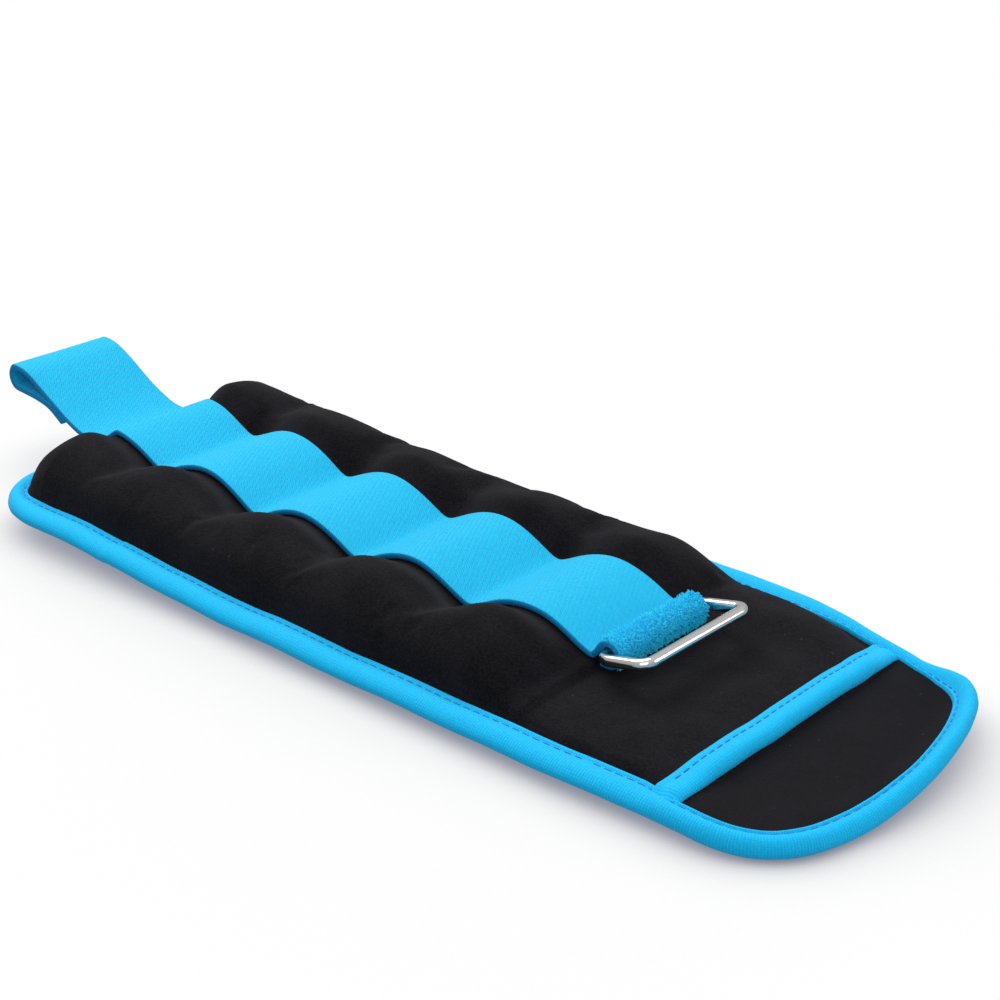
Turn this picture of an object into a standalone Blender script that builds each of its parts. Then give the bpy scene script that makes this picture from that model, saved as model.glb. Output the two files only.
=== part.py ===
"""Ankle cuff weight, laid out flat with its strap side up.

Five sand-filled pockets lie in a row, each an outer cover over a sand pouch over an inner lining.
A plain tab and a single-layer flap follow them at the right, and a knitted binding wraps every edge.
A strap runs along the middle over the pockets: its right end loops round a rectangular wire ring,
and its left end leaves the cuff as a free tail whose tip is folded under.

The seams between the pockets are the hinge lines that let the cuff close round an ankle.
Layout sizes are millimetres, with X = 0 at the cuff's left edge, Y across the cuff and Z = 0 on the
surface that the cuff lies on. Meshes are written in metres round the frame origin.
"""

import math

import bpy
from mathutils import Vector

# Driving dimensions, in millimetres and degrees
POCKET_COUNT = 5
FIXED_POCKET = 3
POCKET_PITCH = 43.0
BODY_HALF_WIDTH = 50.0
BINDING_WIDTH = 9.5
TAB_LENGTH = 45.6
CROSS_BINDING_WIDTH = 8.0
FLAP_LENGTH = 36.9
STRAP_WIDTH = 38.0
STRAP_THICKNESS = 1.8
COVER_THICKNESS = 3.0
LINING_THICKNESS = 3.0
POUCH_WALL = 0.7
EDGE_MID = 4.6
HUMP_HEIGHT = 16.5
HUMP_POWER = 5
HINGE_HEIGHT = 5.0
WRAP_CUT = 28.0
FLAP_CUT = 45.0
SHARP_ANGLE = 40.0
GAP = 0.3

# Strap groove, seam valleys and the raised left end
GROOVE_CREST = 4.6
GROOVE_VALLEY = 5.9
GROOVE_ROOT = 5.4
GROOVE_EDGE = 27.0
SEAM_DIP = 0.35
SEAM_FADE = 0.75
SEAM_FADE_LENGTH = 18.0
TAB_DIP = 0.69
TAB_CROWN = 0.17
TAB_STEP = 5.0
LINING_SEAM_RISE = 5.0
LINING_SEAM_HALF = 6.0
LINING_FLAT = 36.0
TAB_UNDER = 1.7
END_LIFT = 3.4
END_LIFT_FROM = 122.0
END_LIFT_LENGTH = 95.0

# Tape over the tab cover's free edge
CROSS_MID = 7.05
CROSS_FLANGE_HALF = 0.75
CROSS_SLOT_HALF = 1.05
CROSS_HALF = 1.75

# Binding section and corners
FLANGE_INSET = 3.0
FLANGE_HALF = 1.9
BINDING_HALF = 2.9
SLOT_HALF = 2.2
SLOT_INSET = 2.6
LEFT_CORNER = 18.0
FLAP_CORNER = 29.0
FLAP_BOW = 4.0

# Strap ends and ring
TAIL_ROOT_X = 12.0
TAIL_SLANT = 0.8
FOLD_RADIUS = 4.7
RING_WIRE = 3.4
RING_SPAN = 15.0
RING_WIDTH = 42.9
RING_CORNER = 3.2
RING_TILT = 12.7
RING_PIVOT = (220.0, 14.5)
LOOP_RADIUS = 3.1
PATCH_THICKNESS = 1.0

OUTER_HALF_WIDTH = BODY_HALF_WIDTH + BINDING_WIDTH
FLANGE_HALF_WIDTH = OUTER_HALF_WIDTH - FLANGE_INSET
STRAP_HALF = STRAP_WIDTH / 2
LAST_SEAM = POCKET_COUNT * POCKET_PITCH
TAB_END = LAST_SEAM + TAB_LENGTH
FLAP_HINGE_X = TAB_END + CROSS_BINDING_WIDTH
FLAP_TIP = FLAP_HINGE_X + FLAP_LENGTH
FOLD_LEFT = -34.4
FRAME_X = (FOLD_LEFT + FLAP_TIP) / 2

COVER_ROWS = (GAP / 2, 4.0, 12.5, 21.5, 30.5, 39.0, POCKET_PITCH - GAP / 2)
END_ROWS = (13.5, 20.5, 26.0, 32.0, 39.0, POCKET_PITCH - GAP / 2)
END_RISE = 14.0
PANEL_COLUMNS = (0.0, STRAP_HALF, GROOVE_EDGE, 36.0, 42.0, 47.0, BODY_HALF_WIDTH, FLANGE_HALF_WIDTH)
TAB_ROWS = (GAP / 2, 3.5, 11.0, 22.0, 33.0, 43.0)
PACKED_EDGE = 47.0


def clear_scene():
    for item in list(bpy.data.objects):
        bpy.data.objects.remove(item, do_unlink=True)


def material(name, colour, roughness, metallic=0.0):
    made = bpy.data.materials.new(name)
    made.use_nodes = True
    shader = made.node_tree.nodes["Principled BSDF"]
    shader.inputs["Base Color"].default_value = (*colour, 1.0)
    shader.inputs["Roughness"].default_value = roughness
    shader.inputs["Metallic"].default_value = metallic
    return made


def smooth(value):
    """0 below 0, 1 above 1, and an easy curve between."""
    value = min(max(value, 0.0), 1.0)
    return value * value * (3 - 2 * value)


def mirrored(stations):
    """The stations on both sides of the middle, in rising order."""
    return [-y for y in reversed(stations) if y > 0] + list(stations)


def lift(x):
    """How far the cuff stands above its flat place: its left end rises a little."""
    return END_LIFT * smooth((END_LIFT_FROM - x) / END_LIFT_LENGTH)


def valley(x):
    """1 on a pocket seam and 0 on a pocket's crest, rounded at both."""
    rounding = 0.22
    wave = abs(math.sin(math.pi * x / POCKET_PITCH))
    low, high = rounding, math.hypot(1, rounding)
    return 1 - (math.hypot(wave, rounding) - low) / (high - low)


def left_outline(y, inset):
    """X of the left end's outline, set in from the binding's outer edge, with rounded corners."""
    beyond = max(0.0, abs(y) - (OUTER_HALF_WIDTH - LEFT_CORNER))
    radius = LEFT_CORNER - inset
    return LEFT_CORNER - math.sqrt(max(radius * radius - beyond * beyond, 0.0))


def inside_left_end(x, y):
    """Distance to the right of the left binding's inner edge."""
    return x - left_outline(y, BINDING_WIDTH) - 2 * GAP


def cover_top(x, y):
    """Height of the outer cover, before the lift."""
    flange_top = EDGE_MID + FLANGE_HALF
    across = min(abs(y) / BODY_HALF_WIDTH, 1.0)
    crown = HUMP_HEIGHT * math.sqrt(1 - across**HUMP_POWER)
    groove = 1 - smooth((abs(y) - STRAP_HALF) / (GROOVE_EDGE - STRAP_HALF))
    if x >= LAST_SEAM:
        step = 1 - smooth((x - LAST_SEAM) / TAB_STEP)
        return flange_top + crown * (TAB_CROWN + (1 - TAB_DIP - TAB_CROWN) * step)
    last_half = x > LAST_SEAM - POCKET_PITCH / 2
    fade = 1 - SEAM_FADE * smooth((abs(y) - GROOVE_EDGE) / SEAM_FADE_LENGTH)
    dip = TAB_DIP if last_half else SEAM_DIP * fade
    height = crown * (1 - dip * valley(x))
    depth = GROOVE_CREST + (GROOVE_VALLEY - GROOVE_CREST) * valley(x)
    if last_half:
        depth = GROOVE_CREST * (1 - valley(x))
    if x < POCKET_PITCH / 2:
        along = min(max(inside_left_end(x, y) / END_RISE, 0.0), 1.0)
        height = crown * (1 - (1 - along) ** 2.5) ** 0.6
        share = (x - TAIL_ROOT_X) / (POCKET_PITCH / 2 - TAIL_ROOT_X)
        floor = GROOVE_ROOT + (HUMP_HEIGHT - GROOVE_CREST - GROOVE_ROOT) * share
        depth = max(0.0, height - floor)
    return flange_top + max(height - depth * groove, 0.25 * height)


def cover_under(x, y):
    return max(EDGE_MID + GAP / 2, cover_top(x, y) - COVER_THICKNESS)


def lining_under(x, y):
    """Height of the lining's skin side, before the lift: flat under a pocket, raised at a seam."""
    edge = (EDGE_MID - FLANGE_HALF) * smooth((abs(y) - LINING_FLAT) / (BODY_HALF_WIDTH - LINING_FLAT))
    if x > LAST_SEAM:
        return max(edge, TAB_UNDER)
    if x < POCKET_PITCH / 2:
        end_rise = 1 - smooth(inside_left_end(x, y) / 8.0)
        return max(edge, (EDGE_MID - FLANGE_HALF) * end_rise)
    nearest = abs(x - POCKET_PITCH * round(x / POCKET_PITCH))
    seam = LINING_SEAM_RISE * (1 - smooth(nearest / LINING_SEAM_HALF))
    return edge + seam * (1 - edge / (EDGE_MID - FLANGE_HALF))


def lining_top(x, y):
    if abs(y) >= BODY_HALF_WIDTH or inside_left_end(x, y) < 0:
        return EDGE_MID - GAP / 2
    return min(lining_under(x, y) + LINING_THICKNESS, cover_under(x, y) - GAP)


def seam_cut(x, z, inward, hinge_z, angle):
    """X of a point on a segment's end. Below the hinge line the end leans back, to leave room to close."""
    below = max(0.0, hinge_z - z)
    return x + inward * below * math.tan(math.radians(angle))


def cut_ends(x, z, first, last):
    """Leans the points on a segment's two ends back from its hinge lines."""
    if abs(x - first) < GAP and first > 1.0:
        return seam_cut(x, z, 1, HINGE_HEIGHT + lift(first), WRAP_CUT)
    if abs(x - last) < GAP:
        angle = FLAP_CUT if last > LAST_SEAM + 1 else WRAP_CUT
        height = EDGE_MID if last > LAST_SEAM + 1 else HINGE_HEIGHT
        return seam_cut(x, z, -1, height + lift(last), angle)
    return x


def add_object(name, points, faces, finish, pivot=(FRAME_X, 0.0, 0.0)):
    """An object from layout points in millimetres, with its origin at the pivot."""
    mesh = bpy.data.meshes.new(name)
    origin = Vector(pivot)
    mesh.from_pydata([(Vector(point) - origin) / 1000 for point in points], [], faces)
    mesh.materials.append(finish)
    mesh.update()
    mesh.shade_smooth()
    mesh.set_sharp_from_angle(angle=math.radians(SHARP_ANGLE))
    made = bpy.data.objects.new(name, mesh)
    made.location = (origin - Vector((FRAME_X, 0, 0))) / 1000
    bpy.context.scene.collection.objects.link(made)
    return made


def grid_faces(rows, columns, start, upward):
    """Triangles over a grid of points, split along one diagonal everywhere."""
    faces = []
    for i in range(rows - 1):
        for j in range(columns - 1):
            a = start + i * columns + j
            b, c, d = a + columns, a + columns + 1, a + 1
            pair = [(a, b, c), (a, c, d)]
            faces += pair if upward else [tuple(reversed(face)) for face in pair]
    return faces


def rim(rows, columns, start):
    """Indices round a grid's border, in the order that turns left seen from above."""
    near = [start + i * columns for i in range(rows)]
    right = [start + (rows - 1) * columns + j for j in range(1, columns)]
    far = [start + i * columns + columns - 1 for i in range(rows - 2, -1, -1)]
    left = [start + j for j in range(columns - 2, 0, -1)]
    return near + right + far + left


def panel(name, place, rows, columns, finish, pivot):
    """A closed solid between two height fields. place(i, j, top) gives the point."""
    points = []
    for top in (True, False):
        for i in range(rows):
            for j in range(columns):
                points.append(place(i, j, top))
    under = rows * columns
    faces = grid_faces(rows, columns, 0, True) + grid_faces(rows, columns, under, False)
    border = rim(rows, columns, 0)
    for this, after in zip(border, border[1:] + border[:1]):
        faces.append((this, this + under, after + under, after))
    return add_object(name, points, faces, finish, pivot)


def sleeve(name, place, rows, columns, wall, finish, pivot):
    """A panel hollowed by its wall, open at its far side. place(i, j, top, inset) gives the point."""
    points = []
    for inset in (0.0, wall):
        for top in (True, False):
            for i in range(rows):
                for j in range(columns):
                    points.append(place(i, j, top, inset))
    grid = rows * columns
    faces = []
    for layer, upward in enumerate((True, False, False, True)):
        faces += grid_faces(rows, columns, layer * grid, upward)
    border = rim(rows, columns, 0)
    far = set(range(columns - 1, grid, columns))
    for this, after in zip(border, border[1:] + border[:1]):
        if this in far and after in far:
            faces.append((after, this, this + 2 * grid, after + 2 * grid))
            faces.append((this + grid, after + grid, after + 3 * grid, this + 3 * grid))
        else:
            faces.append((this, this + grid, after + grid, after))
            faces.append((this + 2 * grid, after + 2 * grid, after + 3 * grid, this + 3 * grid))
    for corner, flip in ((far_corner(rows, columns, 0), False), (far_corner(rows, columns, rows - 1), True)):
        mouth = (corner, corner + 2 * grid, corner + 3 * grid, corner + grid)
        faces.append(tuple(reversed(mouth)) if flip else mouth)
    return add_object(name, points, faces, finish, pivot)


def far_corner(rows, columns, row):
    return row * columns + columns - 1


def seam_x(index):
    return index * POCKET_PITCH


def pocket_pivot(index):
    """The point on the hinge line that a pocket turns about. The others turn from the fixed one."""
    if index == FIXED_POCKET:
        return (FRAME_X, 0.0, 0.0)
    seam = seam_x(index + 1 if index < FIXED_POCKET else index)
    return (seam, 0.0, HINGE_HEIGHT + lift(seam))


def pocket_rows(index, y):
    """X of each row of points across a pocket. The first pocket starts on the rounded left end."""
    if index > 0:
        return [seam_x(index) + row for row in COVER_ROWS]
    start = left_outline(y, FLANGE_INSET)
    flange = left_outline(y, BINDING_WIDTH + GAP)
    return [start, max(flange, start + 1.0), max(END_ROWS[0], flange + 1.2)] + list(END_ROWS[1:])


def make_layer(label, index, top_height, under_height, finish):
    """A pocket's cover or lining, between two height functions."""
    columns = mirrored(PANEL_COLUMNS)
    rows = [pocket_rows(index, y) for y in columns]

    def place(i, j, top):
        x, y = rows[j][i], columns[j]
        z = (top_height(x, y) if top else under_height(x, y)) + lift(x)
        return (cut_ends(x, z, seam_x(index), seam_x(index + 1)), y, z)

    return panel(f"{label}_{index + 1}", place, len(rows[0]), len(columns), finish, pocket_pivot(index))


def packed_rows(index):
    """X of the rows of points across a pouch: the cover's rows, less those at the pocket's ends."""
    return pocket_rows(index, 0.0)[2 if index == 0 else 1 : -1]


def packed_place(index, columns, clearance):
    """Places the points of what fills a pocket between cover and lining, less a clearance."""
    rows = packed_rows(index)

    def place(i, j, top, inset=0.0):
        x, y = rows[i], columns[j]
        roof = cover_under(x, y) - clearance + lift(x)
        floor = lining_top(x, y) + clearance + lift(x)
        shrink = inset + clearance - GAP
        x = min(max(x, rows[0] + shrink), rows[-1] - shrink)
        y = max(y, columns[0] + shrink)
        return (x, y, roof - inset if top else floor + inset)

    return place


def make_pouch_and_sand(index, pouch_finish, sand_finish):
    columns = mirrored([y for y in PANEL_COLUMNS if y <= PACKED_EDGE])
    count = len(packed_rows(index))
    pivot = pocket_pivot(index)
    pouch = packed_place(index, columns, GAP)
    sleeve(f"sand_pouch_{index + 1}", pouch, count, len(columns), POUCH_WALL, pouch_finish, pivot)
    sand = packed_place(index, columns, POUCH_WALL + 2 * GAP)
    panel(f"iron_sand_{index + 1}", sand, count, len(columns), sand_finish, pivot)


def tab_pivot():
    return (LAST_SEAM, 0.0, HINGE_HEIGHT + lift(LAST_SEAM))


def flap_pivot():
    return (FLAP_HINGE_X, 0.0, EDGE_MID + lift(FLAP_HINGE_X))


def make_tab_cover(finish):
    """The top layer of the tab. Its right edge thins into the slot of the cross binding."""
    edge_rows = (TAB_LENGTH + 0.2, TAB_LENGTH + 4.8)
    stations = [LAST_SEAM + row for row in TAB_ROWS + edge_rows]
    columns = mirrored(PANEL_COLUMNS)

    def place(i, j, top):
        x, y = stations[i], columns[j]
        z = cover_top(x, y) if top else cover_under(x, y)
        if i >= len(TAB_ROWS) and abs(y) < BODY_HALF_WIDTH:
            z = CROSS_MID + (CROSS_FLANGE_HALF if top else -CROSS_FLANGE_HALF)
        z += lift(x)
        return (cut_ends(x, z, LAST_SEAM, FLAP_HINGE_X), y, z)

    return panel("tab_cover", place, len(stations), len(columns), finish, tab_pivot())


def make_tab_lining(finish):
    end = FLAP_HINGE_X - GAP / 2
    stations = [LAST_SEAM + row for row in TAB_ROWS[:-1]] + [end]
    columns = mirrored(PANEL_COLUMNS)

    def place(i, j, top):
        x, y = stations[i], columns[j]
        z = (lining_top(x, y) if top else lining_under(x, y)) + lift(x)
        return (cut_ends(x, z, LAST_SEAM, FLAP_HINGE_X), y, z)

    return panel("tab_lining", place, len(stations), len(columns), finish, tab_pivot())


def flap_outline(y, inset):
    """X of the flap's end, set in from the binding's outer edge: a shallow bow between round corners."""
    beyond = max(0.0, abs(y) - (OUTER_HALF_WIDTH - FLAP_CORNER))
    radius = FLAP_CORNER - inset
    bow = FLAP_BOW * (min(abs(y), OUTER_HALF_WIDTH - FLAP_CORNER) / (OUTER_HALF_WIDTH - FLAP_CORNER)) ** 2
    return FLAP_TIP - bow - FLAP_CORNER + math.sqrt(max(radius * radius - beyond * beyond, 0.0))


def make_flap_panel(finish):
    start = FLAP_HINGE_X + GAP / 2
    shares = (0.0, 0.35, 0.7, 1.0)
    columns = mirrored((0.0, 16.0, 31.0, 42.0, 50.0, 55.0, FLANGE_HALF_WIDTH))

    def place(i, j, top):
        y = columns[j]
        x = start + (flap_outline(y, FLANGE_INSET) - start) * shares[i]
        z = EDGE_MID + (FLANGE_HALF if top else -FLANGE_HALF) + lift(x)
        if i == 0:
            x = seam_cut(x, z, 1, EDGE_MID, FLAP_CUT)
        return (x, y, z)

    return panel("flap_panel", place, len(shares), len(columns), finish, flap_pivot())


def binding_section():
    """Outline of the folded tape, as (outward, up) from the binding's outer edge at mid height."""
    inner = -BINDING_WIDTH
    upper = [
        (inner, BINDING_HALF),
        (-3.2, BINDING_HALF),
        (-0.9, 0.62 * BINDING_HALF),
        (0.0, 0.0),
    ]
    lower = [(n, -z) for n, z in reversed(upper[:-1])]
    slot = [(inner, -SLOT_HALF), (-SLOT_INSET, -SLOT_HALF), (-SLOT_INSET, SLOT_HALF), (inner, SLOT_HALF)]
    return upper + lower + slot


def sweep(name, path, finish, pivot, leans):
    """The binding's section along a path of (x, y, outward x, outward y). leans cuts its two ends."""
    section = binding_section()
    count = len(section)
    points = []
    for step, (x, y, out_x, out_y) in enumerate(path):
        for out, up in section:
            px, py = x + out * out_x, y + out * out_y
            pz = EDGE_MID + up + lift(px)
            lean = leans.get(step)
            if lean:
                inward, hinge_z, angle = lean
                px = seam_cut(px, pz, inward, hinge_z, angle)
            points.append((px, py, pz))
    faces = []
    for step in range(len(path) - 1):
        for k in range(count):
            a, b = step * count + k, step * count + (k + 1) % count
            faces.append((a, b, b + count, a + count))
    last = (len(path) - 1) * count
    faces.append(tuple(reversed(range(count))))
    faces.append(tuple(range(last, last + count)))
    made = add_object(name, points, faces, finish, pivot)
    face_outward(made)
    return made


def face_outward(made):
    """Turns a closed mesh's faces round if its signed volume is negative."""
    mesh = made.data
    mesh.calc_loop_triangles()
    volume = 0.0
    for triangle in mesh.loop_triangles:
        a, b, c = (mesh.vertices[k].co for k in triangle.vertices)
        volume += a.dot(b.cross(c))
    if volume < 0:
        mesh.flip_normals()


def make_side_bindings(finish):
    """Straight runs along both long edges, one for each pocket after the first, and one for the tab."""
    spans = [(index, seam_x(index), seam_x(index + 1)) for index in range(1, POCKET_COUNT)]
    spans.append((POCKET_COUNT, LAST_SEAM, FLAP_HINGE_X))
    for index, first, last in spans:
        is_tab = index == POCKET_COUNT
        label = "tab" if is_tab else str(index + 1)
        pivot = tab_pivot() if is_tab else pocket_pivot(index)
        start, end = first + GAP / 2, last - GAP / 2
        middle = (start + end) / 2
        end_lean = (-1, HINGE_HEIGHT + lift(last), WRAP_CUT)
        if is_tab:
            end_lean = (-1, EDGE_MID, FLAP_CUT)
        leans = {0: (1, HINGE_HEIGHT + lift(first), WRAP_CUT), 2: end_lean}
        for side, word in ((-1, "near"), (1, "far")):
            path = [(x, side * OUTER_HALF_WIDTH, 0.0, side) for x in (start, middle, end)]
            sweep(f"{word}_binding_{label}", path, finish, pivot, leans)


def corner_path(centre_x, centre_y, radius, from_angle, to_angle, steps):
    """Points round a corner with their outward directions."""
    path = []
    for step in range(steps + 1):
        angle = math.radians(from_angle + (to_angle - from_angle) * step / steps)
        out_x, out_y = math.cos(angle), math.sin(angle)
        path.append((centre_x + radius * out_x, centre_y + radius * out_y, out_x, out_y))
    return path


def make_left_binding(finish):
    """One run from the first seam round the left end and back."""
    corner_x = LEFT_CORNER
    corner_y = OUTER_HALF_WIDTH - LEFT_CORNER
    seam = seam_x(1) - GAP / 2
    path = [(seam, -OUTER_HALF_WIDTH, 0.0, -1.0), (30.0, -OUTER_HALF_WIDTH, 0.0, -1.0)]
    path += corner_path(corner_x, -corner_y, LEFT_CORNER, 270, 180, 5)
    path += corner_path(corner_x, corner_y, LEFT_CORNER, 180, 90, 5)
    path += [(30.0, OUTER_HALF_WIDTH, 0.0, 1.0), (seam, OUTER_HALF_WIDTH, 0.0, 1.0)]
    lean = (-1, HINGE_HEIGHT + lift(seam_x(1)), WRAP_CUT)
    sweep("left_end_binding", path, finish, pocket_pivot(0), {0: lean, len(path) - 1: lean})


def make_flap_binding(finish):
    """One run from the flap's hinge round its rounded end and back."""
    start = FLAP_HINGE_X + GAP / 2
    corner_y = OUTER_HALF_WIDTH - FLAP_CORNER
    corner_x = FLAP_TIP - FLAP_BOW - FLAP_CORNER
    half = corner_path(corner_x, corner_y, FLAP_CORNER, 90, 0, 6)
    bow = [(FLAP_TIP - FLAP_BOW * (y / corner_y) ** 2, y, 1.0, 0.0) for y in (16.0, 0.0)]
    run = [(start, OUTER_HALF_WIDTH, 0.0, 1.0)] + half + bow
    path = run + [(x, -y, out_x, -out_y) for x, y, out_x, out_y in reversed(run[:-1])]
    lean = (1, EDGE_MID, FLAP_CUT)
    sweep("flap_binding", path, finish, flap_pivot(), {0: lean, len(path) - 1: lean})


def prism(name, outline, y_low, y_high, finish, pivot):
    """A closed outline in X and Z, carried straight across Y."""
    count = len(outline)
    points = [(x, y, z) for y in (y_low, y_high) for x, z in outline]
    faces = [tuple(range(count)), tuple(reversed(range(count, 2 * count)))]
    for k in range(count):
        after = (k + 1) % count
        faces.append((k, k + count, after + count, after))
    made = add_object(name, points, faces, finish, pivot)
    face_outward(made)
    return made


def ribbon(path, thickness):
    """Outline of a strap: its under path, then the same path moved out along its normals."""
    outer = []
    for k, (x, z) in enumerate(path):
        before, after = path[max(k - 1, 0)], path[min(k + 1, len(path) - 1)]
        along = Vector((after[0] - before[0], after[1] - before[1])).normalized()
        outer.append((x - along.y * thickness, z + along.x * thickness))
    return path + outer[::-1]


def make_cross_binding(finish):
    """The folded tape over the tab cover's free edge, above the lining."""
    left, right = TAB_END, TAB_END + CROSS_BINDING_WIDTH - 0.6
    outline = [
        (left, CROSS_MID + CROSS_HALF),
        (right - 1.6, CROSS_MID + CROSS_HALF),
        (right, CROSS_MID),
        (right - 1.6, CROSS_MID - CROSS_HALF),
        (left, CROSS_MID - CROSS_HALF),
        (left, CROSS_MID - CROSS_SLOT_HALF),
        (right - 2.0, CROSS_MID - CROSS_SLOT_HALF),
        (right - 2.0, CROSS_MID + CROSS_SLOT_HALF),
        (left, CROSS_MID + CROSS_SLOT_HALF),
    ]
    prism("cross_binding", outline, -PACKED_EDGE, PACKED_EDGE, finish, tab_pivot())


def strap_under(x):
    """The strap's under side over the pockets, on the cover at the middle of the cuff."""
    return cover_top(x, 0.0) + GAP + lift(x)


def make_straps(finish):
    for index in range(POCKET_COUNT):
        start = TAIL_ROOT_X if index == 0 else seam_x(index)
        rows = [start + GAP / 2] + [x for x in pocket_rows(index, 0.0) if x > start + 1]
        path = [(x, strap_under(x)) for x in rows]
        outline = path + [(x, z + STRAP_THICKNESS) for x, z in reversed(path)]
        prism(f"strap_over_pocket_{index + 1}", outline, -STRAP_HALF, STRAP_HALF, finish, pocket_pivot(index))


def make_ring_loop(finish):
    """The strap's right end, carried round the ring's inner bar and back under itself."""
    centre_x, centre_z = RING_PIVOT
    inner = LOOP_RADIUS - STRAP_THICKNESS / 2
    arc = []
    for step in range(10):
        angle = math.radians(145 - 235 * step / 9)
        arc.append((centre_x + inner * math.cos(angle), centre_z + inner * math.sin(angle)))
    start_z = strap_under(LAST_SEAM)
    path = [(LAST_SEAM + GAP / 2, start_z), (LAST_SEAM + 1.6, start_z)]
    path += arc + [(centre_x - 1.8, centre_z - inner)]
    prism("strap_ring_loop", ribbon(path, STRAP_THICKNESS), -STRAP_HALF, STRAP_HALF, finish, tab_pivot())


def make_ring(finish):
    """A closed rectangle of round wire, lying a little raised at its free side."""
    radius = RING_WIRE / 2
    half = RING_WIDTH / 2
    corners = [
        (RING_SPAN - RING_CORNER, -half + RING_CORNER, 270),
        (RING_SPAN - RING_CORNER, half - RING_CORNER, 0),
        (RING_CORNER, half - RING_CORNER, 90),
        (RING_CORNER, -half + RING_CORNER, 180),
    ]
    tilt = math.radians(RING_TILT)
    curve = bpy.data.curves.new("rectangular_ring", "CURVE")
    curve.dimensions = "3D"
    curve.bevel_depth = radius / 1000
    curve.bevel_resolution = 2
    points = []
    for corner_x, corner_y, angle in corners:
        for step in range(4):
            turn = math.radians(angle + 30 * step)
            points.append((corner_x + RING_CORNER * math.cos(turn), corner_y + RING_CORNER * math.sin(turn)))
    spline = curve.splines.new("POLY")
    spline.points.add(len(points) - 1)
    for place, (x, y) in zip(spline.points, points):
        place.co = (x * math.cos(tilt) / 1000, y / 1000, x * math.sin(tilt) / 1000, 1.0)
    spline.use_cyclic_u = True
    curve.materials.append(finish)
    made = bpy.data.objects.new("rectangular_ring", curve)
    made.location = ((RING_PIVOT[0] - FRAME_X) / 1000, 0.0, RING_PIVOT[1] / 1000)
    bpy.context.scene.collection.objects.link(made)


def tail_path():
    """Under side of the free strap, from the cuff's left end up to the start of its fold."""
    root_z = strap_under(TAIL_ROOT_X)
    return [
        (TAIL_ROOT_X - GAP / 2 - TAIL_SLANT, root_z),
        (TAIL_ROOT_X - 2.0, root_z),
        (4.0, root_z + 0.1),
        (-4.0, 19.0),
        (-12.0, 23.2),
        (-19.0, 27.2),
        (-25.0, 30.0),
        (FOLD_LEFT + FOLD_RADIUS, 31.4),
    ]


def fold_centre():
    return (FOLD_LEFT + FOLD_RADIUS, 31.4 + STRAP_THICKNESS - FOLD_RADIUS)


def fold_hinge():
    """The line on the outside of the fold that the strap's tip unfolds about."""
    return (FOLD_LEFT, 0.0, fold_centre()[1])


def tail_pivot():
    """The line on top of the strap that its free end bends back about."""
    return (TAIL_ROOT_X, 0.0, strap_under(TAIL_ROOT_X) + STRAP_THICKNESS + GAP / 2)


def fold_arc(from_angle, to_angle, steps):
    """Inner side of the fold between two angles."""
    centre_x, centre_z = fold_centre()
    radius = FOLD_RADIUS - STRAP_THICKNESS
    arc = []
    for step in range(steps + 1):
        angle = math.radians(from_angle + (to_angle - from_angle) * step / steps)
        arc.append((centre_x + radius * math.cos(angle), centre_z + radius * math.sin(angle)))
    return arc


def make_tail(finish, patch_finish):
    """The free end of the strap, its folded tip and the hook patch on the tip's outer face."""
    gap_angle = 2.0
    upper = tail_path() + fold_arc(90 + 22, 180 - gap_angle, 3)
    upper_outline = ribbon(upper[::-1], STRAP_THICKNESS)
    upper_outline[len(upper)] = (TAIL_ROOT_X - GAP / 2, strap_under(TAIL_ROOT_X) + STRAP_THICKNESS)
    prism("strap_tail", upper_outline, -STRAP_HALF, STRAP_HALF, finish, tail_pivot())
    centre_x, centre_z = fold_centre()
    low_z = centre_z - FOLD_RADIUS
    under_side = [(-27.0, low_z + 0.2), (-20.0, low_z + 0.4), (-13.5, low_z - 1.9), (-8.0, low_z - 5.3)]
    lower = fold_arc(180 + gap_angle, 255, 3) + [(x, z + STRAP_THICKNESS) for x, z in under_side]
    lower_outline = ribbon(lower[::-1], STRAP_THICKNESS)
    prism("strap_tip", lower_outline, -STRAP_HALF, STRAP_HALF, finish, fold_hinge())
    patch = [(x, z - GAP - 0.25) for x, z in under_side[:-1]]
    patch_outline = patch + [(x, z - PATCH_THICKNESS) for x, z in reversed(patch)]
    prism("hook_patch", patch_outline, -STRAP_HALF + 3, STRAP_HALF - 3, patch_finish, fold_hinge())


def main():
    clear_scene()
    neoprene = material("black_neoprene", (0.012, 0.011, 0.013), 0.95)
    lining = material("black_lining", (0.018, 0.017, 0.021), 0.85)
    nylon = material("pouch_nylon", (0.30, 0.30, 0.29), 0.6)
    sand = material("iron_sand", (0.09, 0.085, 0.08), 0.7, 0.4)
    tape = material("blue_knit_tape", (0.02, 0.36, 0.86), 0.7)
    webbing = material("blue_webbing", (0.02, 0.38, 0.88), 0.75)
    hooks = material("hook_patch_blue", (0.01, 0.20, 0.60), 0.55)
    nickel = material("nickel_wire", (0.80, 0.79, 0.77), 0.18, 1.0)

    for index in range(POCKET_COUNT):
        make_layer("outer_cover", index, cover_top, cover_under, neoprene)
        make_layer("inner_lining", index, lining_top, lining_under, lining)
        make_pouch_and_sand(index, nylon, sand)
    make_tab_cover(neoprene)
    make_tab_lining(lining)
    make_flap_panel(lining)
    make_side_bindings(tape)
    make_left_binding(tape)
    make_flap_binding(tape)
    make_cross_binding(tape)
    make_straps(webbing)
    make_ring_loop(webbing)
    make_ring(nickel)
    make_tail(webbing, hooks)


main()
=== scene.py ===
"""Visual model of the ankle cuff weight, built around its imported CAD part.

Shapes are worked out in the CAD's layout millimetres: X = 0 at the cuff's left edge,
Y across the cuff, Z up from the surface it lies on. They become metres in the row frame at the end.
"""

import math

import bpy
import numpy as np
from mathutils import Matrix, Vector


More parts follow.
